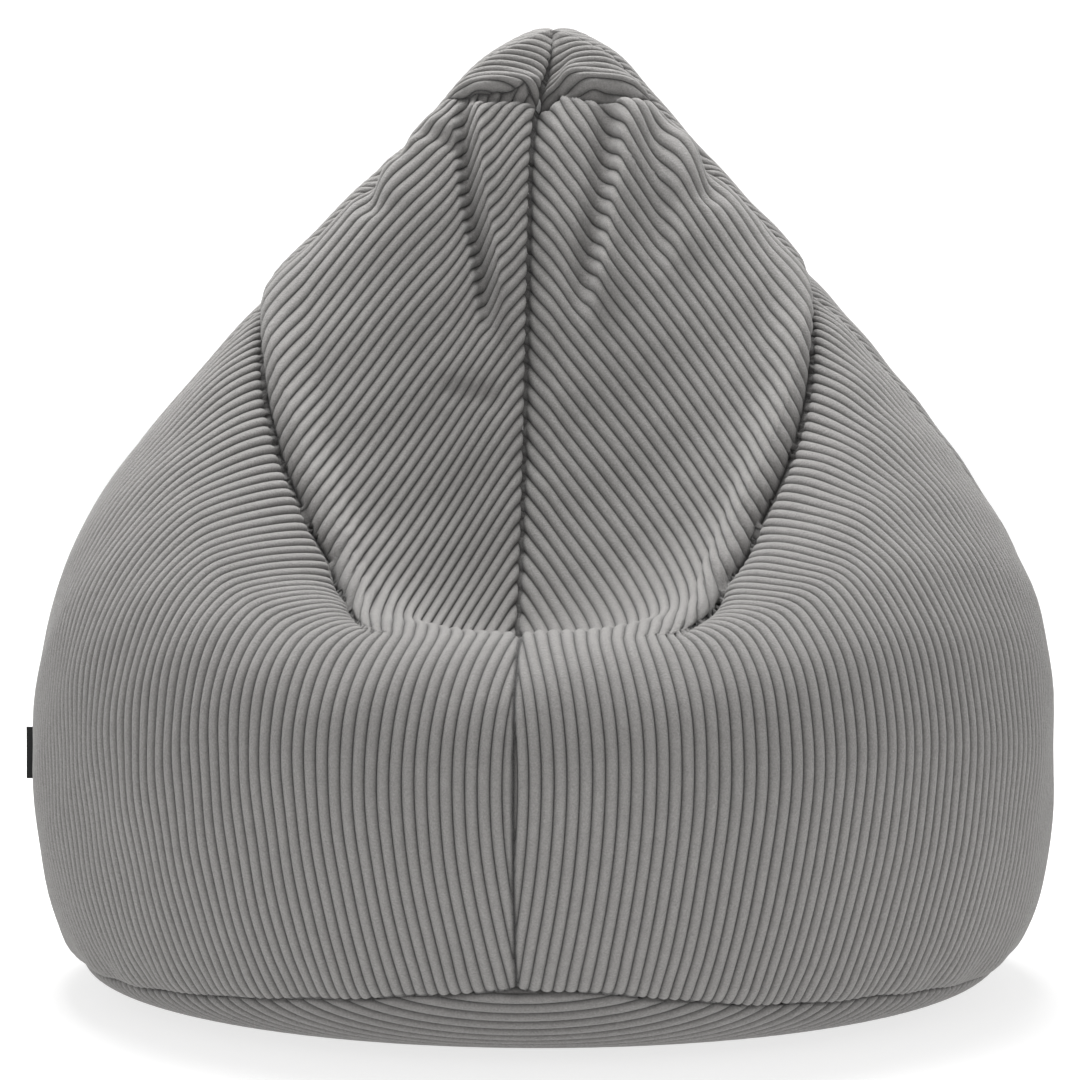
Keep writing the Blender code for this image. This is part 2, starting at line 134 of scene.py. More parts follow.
# Folds in the cover: (path as turn and row, depth, width, height of the roll beside it, side the roll is on).
UP, RIGHT = (0, 0, 1), (1, 0, 0)
FOLDS = (
    (((-0.200, 14.60), (-0.182, 14.26), (-0.125, 13.85), (-0.105, 13.67), (-0.075, 13.40), (-0.055, 12.90)),
     0.019, 0.0075, 0.011, RIGHT),
    (((0.150, 15.05), (0.134, 14.74), (0.103, 14.35), (0.068, 13.89), (0.049, 13.59), (0.036, 13.10)),
     0.017, 0.0085, 0.012, RIGHT),
    (((0.220, 14.10), (0.210, 13.85), (0.162, 13.38), (0.136, 13.07), (0.120, 12.80)),
     0.009, 0.011, 0.005, RIGHT),
    (((-0.240, 13.90), (-0.168, 14.50), (-0.110, 14.98), (-0.030, 15.20), (0.047, 15.29), (0.105, 14.99),
      (0.151, 14.75), (0.206, 14.20), (0.250, 13.80)), 0.012, 0.007, 0.006, UP),
    (((-0.235, 13.30), (-0.171, 13.84), (-0.140, 13.90)), 0.005, 0.008, 0.003, UP),
    (((-0.275, 12.70), (-0.235, 12.42), (-0.190, 12.45)), 0.009, 0.012, 0.003, UP),
    (((-0.290, 13.20), (-0.250, 12.95), (-0.215, 13.00)), 0.006, 0.010, 0.003, UP),
    (((0.275, 13.00), (0.225, 12.70), (0.185, 12.65)), 0.009, 0.013, 0.003, UP),
    (((-0.095, 12.25), (-0.063, 12.51), (-0.030, 12.65)), 0.003, 0.010, 0.001, UP),
    (((0.330, 10.50), (0.385, 10.90), (0.440, 10.95)), 0.006, 0.016, 0.003, UP),
    (((0.560, 9.20), (0.610, 9.60), (0.670, 9.70)), 0.006, 0.018, 0.003, UP),
)
FOLD_SMOOTHING = 3
FOLD_SPAN = 0.06                                      # how far from its path a fold still shows
ROLL_REACH = 2.2                                      # of a roll's middle from its fold, in fold widths

# ---- Panel grids ----
FINE_TURNS = (0.0, 0.0006, 0.0016, 0.0034)
FINE_SHARES = (0.0, 0.003, 0.009, 0.020)
COLUMNS = 38
LOW_STEPS = 44
HIGH_STEPS = 54
CAP_STEPS = 16
BACK_STEPS = 88
BASE_TURNS = 150
BASE_STEPS = 34

# ---- Inside the cover ----
LINER_DEPTH = 0.0120
BEADS_DEPTH = 0.0200
INNER_COLUMNS = 200
INNER_STEPS = 150
INNER_TOP_ROW = 15.3
DART_CLEARANCE = 0.030

# ---- Cover zip ----
COIL_HALF_ANGLE = math.radians(37.1)
COIL_RADIUS = 0.0009
COIL_WIRE = 0.00026
COIL_PITCH = 0.00125
COIL_ACROSS = 0.00115
COIL_OUT = -0.00075
COIL_STEPS = 9
WIRE_SIDES = 5

# ---- Side label, a plain folded tag ----
LABEL_ROW = 6.0
LABEL_ROOT = 0.007                                    # inside the form
LABEL_REACH = 0.0118                                  # outside the form
LABEL_HEIGHT = 0.048
LABEL_GAP = 0.0005
LABEL_CLOTH = 0.0004

# ---- Studio ----
STUDIO_RADIUS = 9.0
WALL_HEIGHT = 2.5
WALL_GLOW = 1.0
FLOOR_DIFFUSE = 0.45
FLOOR_GLOW = 0.70
WORLD_STRENGTH = 0.5
SOFTBOXES = (("overhead", (-0.25, 1.1, 3.4), 2.2, 205),)   # name, place, size, power

# ---- Camera, as far off and as high as a person standing back from it ----
CAMERA_DISTANCE = 4.2
CAMERA_AZIMUTH = math.radians(2.6)
CAMERA_ELEVATION = math.radians(4.5)
CAMERA_PIVOT = (0, 0, 0.44)
CAMERA_AIM = (0.0005, 0, 0.4075)
CAMERA_LENS = 152.5


def smooth(low, high, value):
    share = np.clip((value - low) / (high - low), 0, 1)
    return share * share * (3 - 2 * share)


def bump(distance, width):
    return np.exp(-(distance / width) ** 2)


def pinch(distance, width):
    return np.exp(-np.abs(distance) / width)


# ---- The form's surface ----

def ring_points(ring):
    half_width, front_y, side_y, back_y, front_z, side_z, back_z = ring
    angle = np.arange(TURN_STEPS) * 2 * np.pi / TURN_STEPS
    forward = np.cos(angle)
    end_y = np.where(forward > 0, front_y, back_y)
    end_z = np.where(forward > 0, front_z, back_z)
    x = half_width * np.sin(angle)
    y = side_y + (end_y - side_y) * np.abs(forward)
    z = side_z + (end_z - side_z) * forward**2
    return np.stack([x, y, z], axis=1)


def control_cage():
    cage = np.stack([ring_points(ring) for ring in RINGS])
    below = np.roll(cage[1], TURN_STEPS // 2, axis=0)
    above = np.roll(cage[-2], TURN_STEPS // 2, axis=0)
    return np.concatenate([below[None], cage, above[None]])


CAGE = control_cage()


def spline_weights(t):
    return [(1 - t) ** 3 / 6, (3 * t**3 - 6 * t**2 + 4) / 6, (-3 * t**3 + 3 * t**2 + 3 * t + 1) / 6, t**3 / 6]


def form_points(turns, rows):
    turns, rows = np.broadcast_arrays(turns, rows)
    column = np.floor(turns * TURN_STEPS).astype(int)
    row = np.clip(np.floor(rows).astype(int), 0, len(RINGS) - 2)
    across = spline_weights(turns * TURN_STEPS - column)
    along = spline_weights(rows - row)
    points = np.zeros(turns.shape + (3,))
    for j in range(4):
        for i in range(4):
            weight = (along[j] * across[i])[..., None]
            points += weight * CAGE[row + j, (column + i - 1) % TURN_STEPS]
    return points


def normals_of(surface, turns, rows):
    round_it = surface(turns + PROBE, rows) - surface(turns - PROBE, rows)
    up_it = surface(turns, rows + PROBE) - surface(turns, rows - PROBE)
    normals = np.cross(round_it, up_it)
    return normals / np.maximum(np.linalg.norm(normals, axis=-1, keepdims=True), 1e-12)


def signed_turn(turns):
    """Turn from the front middle, from -0.5 to 0.5."""
    return (turns + 0.5) % 1.0 - 0.5


def dart_row(turn):
    reach = np.abs(turn)
    right, left = (np.interp(reach, *zip(*DARTS[side])) for side in (1, -1))
    return np.where(turn < 0, left, right)


def zip_angle(turns):
    """Angle from the back middle, as the zip's own circle measures it."""
    points = form_points(turns, np.full(np.shape(turns), SEAM_ROW))
    return np.arctan2(points[..., 0], points[..., 1] - AXIS_Y)


def seam_row(turns):
    """The row of the base seam, which dips at the sides and is slightly wavy but for the zip."""
    reach = np.abs(signed_turn(turns))
    dip = SIDE_SEAM_DIP * smooth(0, SEAM_FRONT_REACH, reach) * (1 - smooth(0.27, 0.37, reach))
    rise = FRONT_SEAM_RISE * (1 - smooth(0, SEAM_FRONT_REACH, reach))
    free = 1 - smooth(0.30, 0.37, reach)
    wave = sum(height * np.sin(2 * np.pi * count * turns + phase) for height, count, phase in SEAM_WAVES)
    return SEAM_ROW + rise - dip + free * wave


def opening_rows(turns):
    """How far each hem stands off the base seam's line, in rows."""
    one_row = np.linalg.norm(form_points(0.5, SEAM_ROW + 0.5) - form_points(0.5, SEAM_ROW - 0.5))
    beyond = np.abs(zip_angle(turns)) - ZIP_HALF_ANGLE
    return ZIP_OPENING / one_row * (1 - smooth(0, ZIP_END_ANGLE, beyond))


def drift(points, rows):
    """How far the backrest's middle is moved sideways."""
    share = smooth(8.5, 10.5, rows) * (1 - 0.55 * smooth(14.5, 16, rows))
    front = 1 - smooth(0.20, 0.26, points[..., 1])
    return SEAM_DRIFT * share * front * bump(points[..., 0], SEAM_DRIFT_WIDTH)


def fold_line(path):
    """A path as a smooth line of points on the form."""
    turns, rows = np.array(path).T
    corners = form_points(turns, rows)
    corners[:, 0] -= drift(corners, rows)
    for _ in range(FOLD_SMOOTHING):
        near, far = corners[:-1], corners[1:]
        pairs = np.stack([0.75 * near + 0.25 * far, 0.25 * near + 0.75 * far], axis=1)
        corners = np.concatenate([corners[:1], pairs.reshape(-1, 3), corners[-1:]])
    return corners


def off_line(points, corners):
    """Offsets from the nearest place on a line, their lengths, and the share of the line's length there."""
    lengths = np.linalg.norm(np.diff(corners, axis=0), axis=1)
    starts = np.concatenate([[0], np.cumsum(lengths)])
    offsets = np.zeros(points.shape)
    run = np.zeros(len(points))
    nearest = np.full(len(points), np.inf)
    for a, b, start, length in zip(corners, corners[1:], starts, lengths):
        share = np.clip(((points - a) @ (b - a)) / length**2, 0, 1)
        offset = points - a - share[:, None] * (b - a)
        distance = np.linalg.norm(offset, axis=-1)
        closer = distance < nearest
        nearest[closer] = distance[closer]
        offsets[closer] = offset[closer]
        run[closer] = (start + share[closer] * length) / starts[-1]
    return offsets, nearest, run


def fold_relief(points):
    """How far the folds push the cover out or in."""
    flat = points.reshape(-1, 3)
    out = np.zeros(len(flat))
    for path, depth, width, roll, side in FOLDS:
        line = fold_line(path)
        inside = (flat > line.min(axis=0) - FOLD_SPAN) & (flat < line.max(axis=0) + FOLD_SPAN)
        near = np.flatnonzero(inside.all(axis=1))
        offsets, distance, run = off_line(flat[near], line)
        across = distance * np.tanh(offsets @ np.array(side) / (0.3 * width))
        fade = smooth(0, 0.25, run) * (1 - smooth(0.75, 1, run))
        raised = roll * bump(across - ROLL_REACH * width, 1.5 * width)
        out[near] += fade * (raised - depth * bump(distance, width))
    return out.reshape(points.shape[:-1])


def cover_points(turns, rows):
    """The cover without its ribs: the form with its folds, seam valleys and darts."""
    points = form_points(turns, rows)
    normals = normals_of(form_points, turns, rows)
    turn = signed_turn(turns)
    reach = np.abs(turn)
    round_length = np.linalg.norm(form_points(turns + PROBE, rows) - points, axis=-1) / PROBE
    up_rows = (form_points(turns, rows + PROBE) - points) / PROBE
    row_length = np.linalg.norm(up_rows, axis=-1)
    x, y, z = points[..., 0], points[..., 1], points[..., 2]

    # Slow unevenness of the fill.
    loose = smooth(SEAM_ROW, SEAM_ROW + 2, rows)
    out = loose * 0.0022 * np.sin(19 * x + 8 * z + 1.0) * np.sin(17 * y - 21 * z + 0.4)
    out += loose * 0.0012 * np.sin(43 * x - 29 * z + 2.0) * np.sin(37 * y + 31 * z)

    # Seams pull the cover in.
    upper = smooth(8.5, 10.5, rows)
    tip = 1 - smooth(15.3, 15.9, rows)
    past_base = (rows - seam_row(turns)) * row_length
    on_sides = smooth(-0.006, 0, past_base)
    shallow, more_above, more_right = FRONT_SEAM_DEPTH
    out -= on_sides * (shallow + more_above * upper) * pinch(reach * round_length, FRONT_SEAM_PULL)
    out -= more_right * smooth(10.5, 13, rows) * (turn > 0) * bump(turn * round_length - 0.006, 0.016)
    out -= on_sides * SIDE_SEAM_DEPTH * pinch((reach - 0.25) * round_length, SEAM_PULL)
    out -= on_sides * BACK_SEAM_DEPTH * pinch((0.5 - reach) * round_length, SEAM_PULL)
    out += CARE_LABEL_ROOM * bump((0.5 - reach) * round_length, 0.035) * bump(rows - CARE_LABEL_ROW, 0.7)
    out -= BASE_SEAM_DEPTH * pinch(past_base, 0.007)
    pucker = np.sin(2 * np.pi * 31 * turn + 1.3 * np.sin(2 * np.pi * 7 * turn))
    out += PUCKER_HEIGHT * pucker * bump(past_base - 0.022, 0.018)
    out += fold_relief(points)

    # Each dart: the back bulges over it, and the arm dips towards it.
    past = (rows - dart_row(turn)) * row_length
    strength = smooth(DART_END - 0.012, DART_END + 0.03, reach) * (1 - smooth(0.24, 0.34, reach))
    over = past > 0
    rise = DART_RISE * smooth(0.0, 0.022, past) * (1 - smooth(0.02, 0.08, past))
    rise = rise * (1 - 0.6 * smooth(0.17, 0.24, reach))
    dip = DART_DEPTH * pinch(past, 0.009) + ARM_DIP * bump(past, 0.045) * (1 - over)
    out += strength * (over * rise - dip)
    out *= tip
    overhang = strength * over * DART_OVERHANG * smooth(0.0, 0.010, past) * (1 - smooth(0.012, 0.045, past))
    moved = points + out[..., None] * normals - (overhang / np.maximum(row_length, 1e-9))[..., None] * up_rows

    # The backrest's seam wanders to the left, the arms sag at their inner ends, and the right side is fuller.
    moved[..., 0] += drift(points, rows)
    sag = bump(reach - CREST_SAG_AT[0], CREST_SAG_SPAN[0]) * bump(rows - CREST_SAG_AT[1], CREST_SAG_SPAN[1])
    moved[..., 2] -= CREST_SAG * sag
    low = smooth(3.2, 4.8, rows) * (1 - smooth(7.0, 8.6, rows))
    moved[..., 0] += RIGHT_SWELL * low * smooth(0.25, 0.45, x)
    return moved


def seam_distance(turns, rows):
    """Distance to the nearest seam or dart on the form."""
    turn = signed_turn(turns)
    reach = np.abs(turn)
    points = form_points(turns, rows)
    round_length = np.linalg.norm(form_points(turns + PROBE, rows) - points, axis=-1) / PROBE
    row_length = np.linalg.norm(form_points(turns, rows + PROBE) - points, axis=-1) / PROBE
    to_seams = [reach, np.abs(reach - 0.25), 0.5 - reach]
    nearest = np.minimum.reduce(to_seams) * round_length
    nearest = np.minimum(nearest, np.abs(rows - seam_row(turns)) * row_length)
    past_end = np.maximum(DART_END + 0.006 - reach, 0) * round_length
    to_dart = np.hypot((rows - dart_row(turn)) * row_length, past_end)
    past_cut = np.maximum(reach - CAP_CUT, 0) * round_length
    to_tuck = np.hypot((rows - np.interp(reach, *zip(*CAP_EDGE))) * row_length, past_cut)
    return np.where(reach < 0.25, np.minimum(np.minimum(nearest, to_dart), to_tuck), nearest)


# ---- Rib field: a number on each point of a panel that grows by one from rib to rib ----

def panel_turns(start, end):
    fine = np.array(FINE_TURNS)
    middle = np.linspace(start + 0.0066, end - 0.0066, COLUMNS)
    return np.concatenate([start + fine, middle, end - fine[::-1]])


def front_grid(side):
    """One front panel as (turn, row) points, cut open along its dart and its tuck, and its quads."""
    turns = panel_turns(0, 0.25)
    hem, dart = seam_row(side * turns), dart_row(side * turns)
    cap = np.interp(turns, *zip(*CAP_EDGE))
    fine = np.array(FINE_SHARES)
    blocks = (
        (hem, dart, np.concatenate([fine, np.linspace(0.04, 0.96, LOW_STEPS), 1 - fine[::-1]])),
        (dart, cap, np.concatenate([fine, np.linspace(0.04, 1, HIGH_STEPS)])),
        (cap, np.full(len(turns), TOP_ROW), np.linspace(0, 1, CAP_STEPS)),
    )
    rows = np.concatenate([start + (end - start) * shares[:, None] for start, end, shares in blocks])
    points = np.stack([np.broadcast_to(turns, rows.shape), rows], axis=-1).reshape(-1, 2)
    index = np.arange(rows.size).reshape(rows.shape)
    dart_line = len(blocks[0][2])
    cap_line = dart_line + len(blocks[1][2])
    for line, joined in ((dart_line, turns <= DART_END), (cap_line, turns > CAP_CUT)):
        index[line, joined] = index[line - 1, joined]
    quads = []
    for j in range(len(rows) - 1):
        if j + 1 not in (dart_line, cap_line):
            near, far = index[j], index[j + 1]
            quads += [(near[i], near[i + 1], far[i + 1], far[i]) for i in range(len(turns) - 1)]
    used, quads = np.unique(np.array(quads), return_inverse=True)
    return points[used], quads.reshape(-1, 4)


def back_grid():
    turns = panel_turns(0.25, 0.5)
    hem = seam_row(turns) + opening_rows(turns)
    shares = np.concatenate([np.array(FINE_SHARES), np.linspace(0.03, 1, BACK_STEPS)])
    rows = hem + (TOP_ROW - hem) * shares[:, None]
    points = np.stack([np.broadcast_to(turns, rows.shape), rows], axis=-1).reshape(-1, 2)
    index = np.arange(rows.size).reshape(rows.shape)
    quads = np.stack([index[:-1, :-1], index[:-1, 1:], index[1:, 1:], index[1:, :-1]], axis=-1).reshape(-1, 4)
    return points, quads


def triangles_of(quads):
    return np.concatenate([quads[:, [0, 1, 2]], quads[:, [0, 2, 3]]])


def flatten(positions, quads, up_points):
    """The panel laid flat as it was cut. up_points are two indices that end up one above the other."""
    mesh = bpy.data.meshes.new("pattern")
    mesh.from_pydata(positions.tolist(), [], quads.tolist())
    obj = bpy.data.objects.new("pattern", mesh)
    bpy.context.scene.collection.objects.link(obj)
    bpy.context.view_layer.objects.active = obj
    obj.select_set(True)
    mesh.uv_layers.new(name="flat")
    bpy.ops.object.mode_set(mode="EDIT")
    bpy.ops.mesh.select_all(action="SELECT")
    bpy.ops.uv.unwrap(method="MINIMUM_STRETCH", fill_holes=False, margin=0.0, iterations=40, no_flip=True)
    bpy.ops.object.mode_set(mode="OBJECT")
    corners = np.empty(len(mesh.loops), int)
    mesh.loops.foreach_get("vertex_index", corners)
    coordinates = np.empty(len(mesh.loops) * 2)
    mesh.uv_layers[0].data.foreach_get("uv", coordinates)
    bpy.data.objects.remove(obj)
    bpy.data.meshes.remove(mesh)
    flat = np.zeros((len(positions), 2))
    flat[corners] = coordinates.reshape(-1, 2)
    faces = triangles_of(quads)
    side_a = positions[faces[:, 1]] - positions[faces[:, 0]]
    side_b = positions[faces[:, 2]] - positions[faces[:, 0]]
    flat_a = flat[faces[:, 1]] - flat[faces[:, 0]]
    flat_b = flat[faces[:, 2]] - flat[faces[:, 0]]
    real_area = np.linalg.norm(np.cross(side_a, side_b), axis=1).sum()
    flat_area = (flat_a[:, 0] * flat_b[:, 1] - flat_a[:, 1] * flat_b[:, 0]).sum()
    flat *= math.sqrt(real_area / abs(flat_area))
    if flat_area < 0:
        flat[:, 0] *= -1
    up = flat[up_points[1]] - flat[up_points[0]]
    turn = math.atan2(up[0], up[1])
    return flat @ np.array([[math.cos(turn), math.sin(turn)], [-math.sin(turn), math.cos(turn)]])


def gradient_vectors(positions, faces):
    """For each triangle, the three vectors that turn its corner values into their gradient, and its area."""
    a, b, c = positions[faces[:, 0]], positions[faces[:, 1]], positions[faces[:, 2]]
    normal = np.cross(b - a, c - a)
    double_area = np.linalg.norm(normal, axis=1, keepdims=True)
    normal = normal / double_area
    vectors = np.stack([np.cross(normal, side) for side in (c - b, a - c, b - a)], axis=1)
    vectors = vectors / double_area[..., None]
    return vectors, double_area[:, 0] / 2, normal


def solve_field(positions, faces, wanted, start, steps=900):
    """The values whose gradient is closest to the wanted one, by conjugate gradients."""
    vectors, area, _ = gradient_vectors(positions, faces)
    count = len(positions)

    def spread(per_corner):
        return sum(np.bincount(faces[:, k], per_corner[:, k], count) for k in range(3))

    def apply(values):
        slope = np.einsum("tk,tkd->td", values[faces], vectors)
        return spread(np.einsum("td,tkd->tk", slope * area[:, None], vectors))

    target = spread(np.einsum("td,tkd->tk", wanted * area[:, None], vectors))
    weight = spread(np.einsum("tkd,tkd->tk", vectors, vectors) * area[:, None])
    values = start.copy()
    residual = target - apply(values)
    step = residual / weight
    product = residual @ step
    for _ in range(steps):
        moved = apply(step)
        length = product / (step @ moved)
        values += length * step
        residual -= length * moved
        scaled = residual / weight
        fresh = residual @ scaled
        if fresh < 1e-12:
            break
        step = scaled + fresh / product * step
        product = fresh
    return values


def slope_along(direction, normals):
    """The part of a direction that lies in each triangle."""
    return direction - np.einsum("td,td->t", normals, direction)[:, None] * normals


def front_ribs(side):
    """Points, faces and rib numbers of one front panel, laid out as if it were on the right."""
    points, quads = front_grid(side)
    faces = triangles_of(quads)
    positions = form_points(points[:, 0], points[:, 1])
    seam = np.flatnonzero(points[:, 0] == 0)
    low = seam[np.argmin(np.abs(points[seam, 1] - 5.8))]
    high = seam[np.argmin(np.abs(points[seam, 1] - 7.2))]
    flat = flatten(positions, quads, (low, high))
    vectors, _, normals = gradient_vectors(positions, faces)
    as_cut = np.einsum("tk,tkd->td", flat[faces, 0] / RIB_PITCH, vectors)

    reach, row = points[faces].mean(axis=1).T
    across = positions[faces].mean(axis=1)[:, 0]
    cap_row = np.interp(reach, *zip(*CAP_EDGE))
    edge_share = np.clip(across / CAP_HALF_WIDTH, 0, 1)
    cap_lean = CAP_RIB_LEAN[0] + (CAP_RIB_LEAN[1] - CAP_RIB_LEAN[0]) * edge_share
    back_lean = np.full(len(row), BACKREST_RIB_LEAN)
    if side < 0:
        back_lean += LEFT_SHOULDER_LEAN * smooth(0.07, 0.10, across) * smooth(11.8, 13.2, row)
    lean = np.where(row > cap_row, cap_lean, back_lean)
    direction = np.stack([np.cos(lean), np.zeros(len(lean)), np.sin(lean)], axis=1) / BACKREST_RIB_PITCH
    as_seen = slope_along(direction, normals)

    above_dart = row - dart_row(side * reach)
    past_end = smooth(DART_END, DART_END + 0.03, reach)
    seen = (1 - past_end) * smooth(-0.3, 0.5, above_dart) + past_end * (above_dart > 0)
    wanted = as_cut * (1 - seen[:, None]) + as_seen * seen[:, None]
    on_arm = past_end * (above_dart < 0) * (1 - smooth(0.13, 0.18, reach))
    on_arm *= ARM_SHARE * smooth(0, 0.5, row - np.interp(reach, *zip(*ARM_LINE)))
    arm_lean = ARM_RIB_LEAN[0] + (ARM_RIB_LEAN[1] - ARM_RIB_LEAN[0]) * smooth(0.06, 0.15, reach)
    direction = np.stack([np.cos(arm_lean), np.zeros(len(lean)), np.sin(arm_lean)], axis=1) / RIB_PITCH
    wanted += on_arm[:, None] * (slope_along(direction, normals) - wanted)
    seen_density = np.clip(np.linalg.norm(as_seen, axis=1), 0.88 / RIB_PITCH, 1.05 / RIB_PITCH)
    density = (1 - seen) / RIB_PITCH + seen * seen_density
    density = np.where(row > cap_row, CAP_RIB_DENSITY / RIB_PITCH, density)
    wanted *= (density / np.linalg.norm(wanted, axis=1))[:, None]
    ribs = solve_field(positions, faces, wanted, flat[:, 0] / RIB_PITCH)
    return points, faces, ribs - ribs[low] + (LEFT_RIB_SHIFT if side < 0 else 0)


def back_ribs():
    points, quads = back_grid()
    faces = triangles_of(quads)
    positions = form_points(points[:, 0], points[:, 1])
    seam = np.flatnonzero(points[:, 0] == 0.5)
    low = seam[np.argmin(np.abs(points[seam, 1] - 6.0))]
    high = seam[np.argmin(np.abs(points[seam, 1] - 10.0))]
    flat = flatten(positions, quads, (low, high))
    ribs = flat[:, 0] / RIB_PITCH
    return points, faces, ribs - ribs[low]


# ---- Cutting a panel's mesh along its ribs ----

def cut_along_ribs(points, faces, ribs):
    """Splits each triangle along the rib levels. Returns the points, their rib numbers and the polygons."""
    first, last = math.floor(ribs.min()) - 1, math.ceil(ribs.max()) + 1
    levels = np.sort(np.concatenate([np.arange(first, last + 1) + place for place in RIB_LEVELS]))
    heights = ribs.tolist()
    level_list = levels.tolist()
    lowest = np.searchsorted(levels, ribs, "right").tolist()
    highest = np.searchsorted(levels, ribs, "left").tolist()
    ends, shares, on_edge = [], [], {}

    def crossings(a, b):
        """For each level that crosses the edge from its lower end a to its higher end b, the point there."""
        if (a, b) not in on_edge:
            found = {}
            for k in range(lowest[a], highest[b]):
                found[k] = len(heights) + len(ends)
                ends.append((a, b))
                shares.append((level_list[k] - heights[a]) / (heights[b] - heights[a]))
            on_edge[a, b] = found
        return on_edge[a, b]

    polygons = []
    for face in faces.tolist():
        order = tuple(sorted(range(3), key=lambda k: (heights[face[k]], face[k])))
        bottom, middle, top = (face[k] for k in order)
        flipped = order in ((0, 2, 1), (2, 1, 0), (1, 0, 2))
        low_side, high_side = crossings(bottom, middle), crossings(middle, top)
        left, right, passed = bottom, bottom, False
        strips = []
        for k, point in crossings(bottom, top).items():
            strip = [left] if left == right else [left, right]
            if k in low_side:
                right = low_side[k]
            elif k in high_side:
                if not passed:
                    strip.append(middle)
                passed, right = True, high_side[k]
            else:
                passed, right = True, middle
            left = point
            strips.append(strip + [right, left])
        strip = [left] if left == right else [left, right]
        strips.append(strip + ([top] if passed else [middle, top]))
        polygons += [strip[::-1] for strip in strips] if flipped else strips

    a, b = np.array(ends).T
    share = np.array(shares)[:, None]
    new_points = points[a] * (1 - share) + points[b] * share
    new_ribs = ribs[a] * (1 - share[:, 0]) + ribs[b] * share[:, 0]
    return np.concatenate([points, new_points]), np.concatenate([ribs, new_ribs]), polygons


def rib_profile(ribs):
    """Height across the ribs, from 0 between two ribs to 1 on top of one."""
    across = np.abs(2 * (ribs - np.floor(ribs)) - 1)
    return np.maximum(1 - across**2, 0) ** 0.7


def border_edges(polygons):
    """Directed edges that only one polygon uses."""
    seen = set()
    for polygon in polygons:
        seen.update(zip(polygon, polygon[1:] + polygon[:1]))
    return [(a, b) for a, b in seen if (b, a) not in seen]


def shell_mesh(name, places, normals, polygons, attributes, allowance):
    """A mesh whose open edges turn in by the seam allowance."""
    edges = sorted(border_edges(polygons))
    border = sorted({point for edge in edges for point in edge})
    inner = {point: len(places) + i for i, point in enumerate(border)}
    skirt = [(b, a, inner[a], inner[b]) for a, b in edges]
    places = np.concatenate([places, places[border] - (allowance[:, None] * normals)[border]])
    mesh = bpy.data.meshes.new(name)
    mesh.from_pydata(places.tolist(), [], polygons + skirt)
    mesh.polygons.foreach_set("use_smooth", [True] * len(mesh.polygons))
    for key, values in attributes.items():
        values = np.concatenate([values, values[border]])
        mesh.attributes.new(key, "FLOAT", "POINT").data.foreach_set("value", values.astype(np.float32))
    mesh.validate()
    return mesh


def add_piece(name, mesh, material, node, body="body"):
    obj = bpy.data.objects.new(name, mesh)
    bpy.context.scene.collection.objects.link(obj)
    mesh.materials.append(material)
    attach(obj, body)
    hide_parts(node)
    return obj


def make_ribbed_panel(name, side, points, faces, ribs, material, node, soft_slot):
    points, ribs, polygons = cut_along_ribs(points, faces, ribs)
    turns, rows = side * points[:, 0], points[:, 1]
    normals = normals_of(cover_points, turns, rows)
    end = np.clip(seam_distance(turns, rows) / RIB_END, 0, 1)
    profile = rib_profile(ribs) * np.sqrt(1 - (1 - end) ** 2)
    relief = RIB_HEIGHT * (1 - 0.8 * smooth(15.5, 15.9, rows))
    places = cover_points(turns, rows) + (relief * (profile - 1))[:, None] * normals
    # On the left panel no x is above zero, so this length is nothing and every rib above the seat is shifted.
    from_seam = points[:, 0] * 2 * math.pi * places[:, 0].max()
    over_seam = bump(from_seam, SCALLOP_REACH) * smooth(8.5, 10, rows)
    places[:, 0] -= side * SCALLOP * rib_profile(ribs) * over_seam
    if side < 0:
        polygons = [polygon[::-1] for polygon in polygons]
    allowance = SEAM_ALLOWANCE * (1 - smooth(15.2, 15.8, rows))
    mesh = shell_mesh(name, places, normals, polygons, {"rib": profile}, allowance)
    panel = add_piece(name, mesh, material, node)
    return panel


def base_grid():
    """The base panel's points on a plane, each as far out as its row, its triangles and rib numbers."""
    angles = 2 * math.pi * np.arange(BASE_TURNS) / BASE_TURNS
    turns = angles / (2 * math.pi)
    hem = seam_row(turns) - opening_rows(turns)
    shares = np.concatenate([np.linspace(0, 0.97, BASE_STEPS), 1 - np.array(FINE_SHARES[::-1][1:])])
    rows = hem * shares[:, None]
    places = form_points(np.broadcast_to(turns, rows.shape), rows)
    radius = np.cumsum(np.linalg.norm(np.diff(places, axis=0), axis=-1), axis=0)
    ribs = np.concatenate([[0], (-radius * np.cos(angles) / RIB_PITCH).ravel()])
    rows = rows[1:]
    points = np.stack([rows * np.cos(angles), rows * np.sin(angles)], axis=-1).reshape(-1, 2)
    index = 1 + np.arange(rows.size).reshape(rows.shape)
    beyond = np.roll(index, -1, axis=1)
    quads = np.stack([index[:-1], beyond[:-1], beyond[1:], index[1:]], axis=-1).reshape(-1, 4)
    fan = np.stack([beyond[0], index[0], np.zeros(BASE_TURNS, int)], axis=-1)
    return np.concatenate([[(0, 0)], points]), np.concatenate([triangles_of(quads), fan]), ribs


def plane_to_form(points):
    turns = np.arctan2(points[:, 1], points[:, 0]) / (2 * math.pi) % 1.0
    return turns, np.hypot(points[:, 0], points[:, 1])


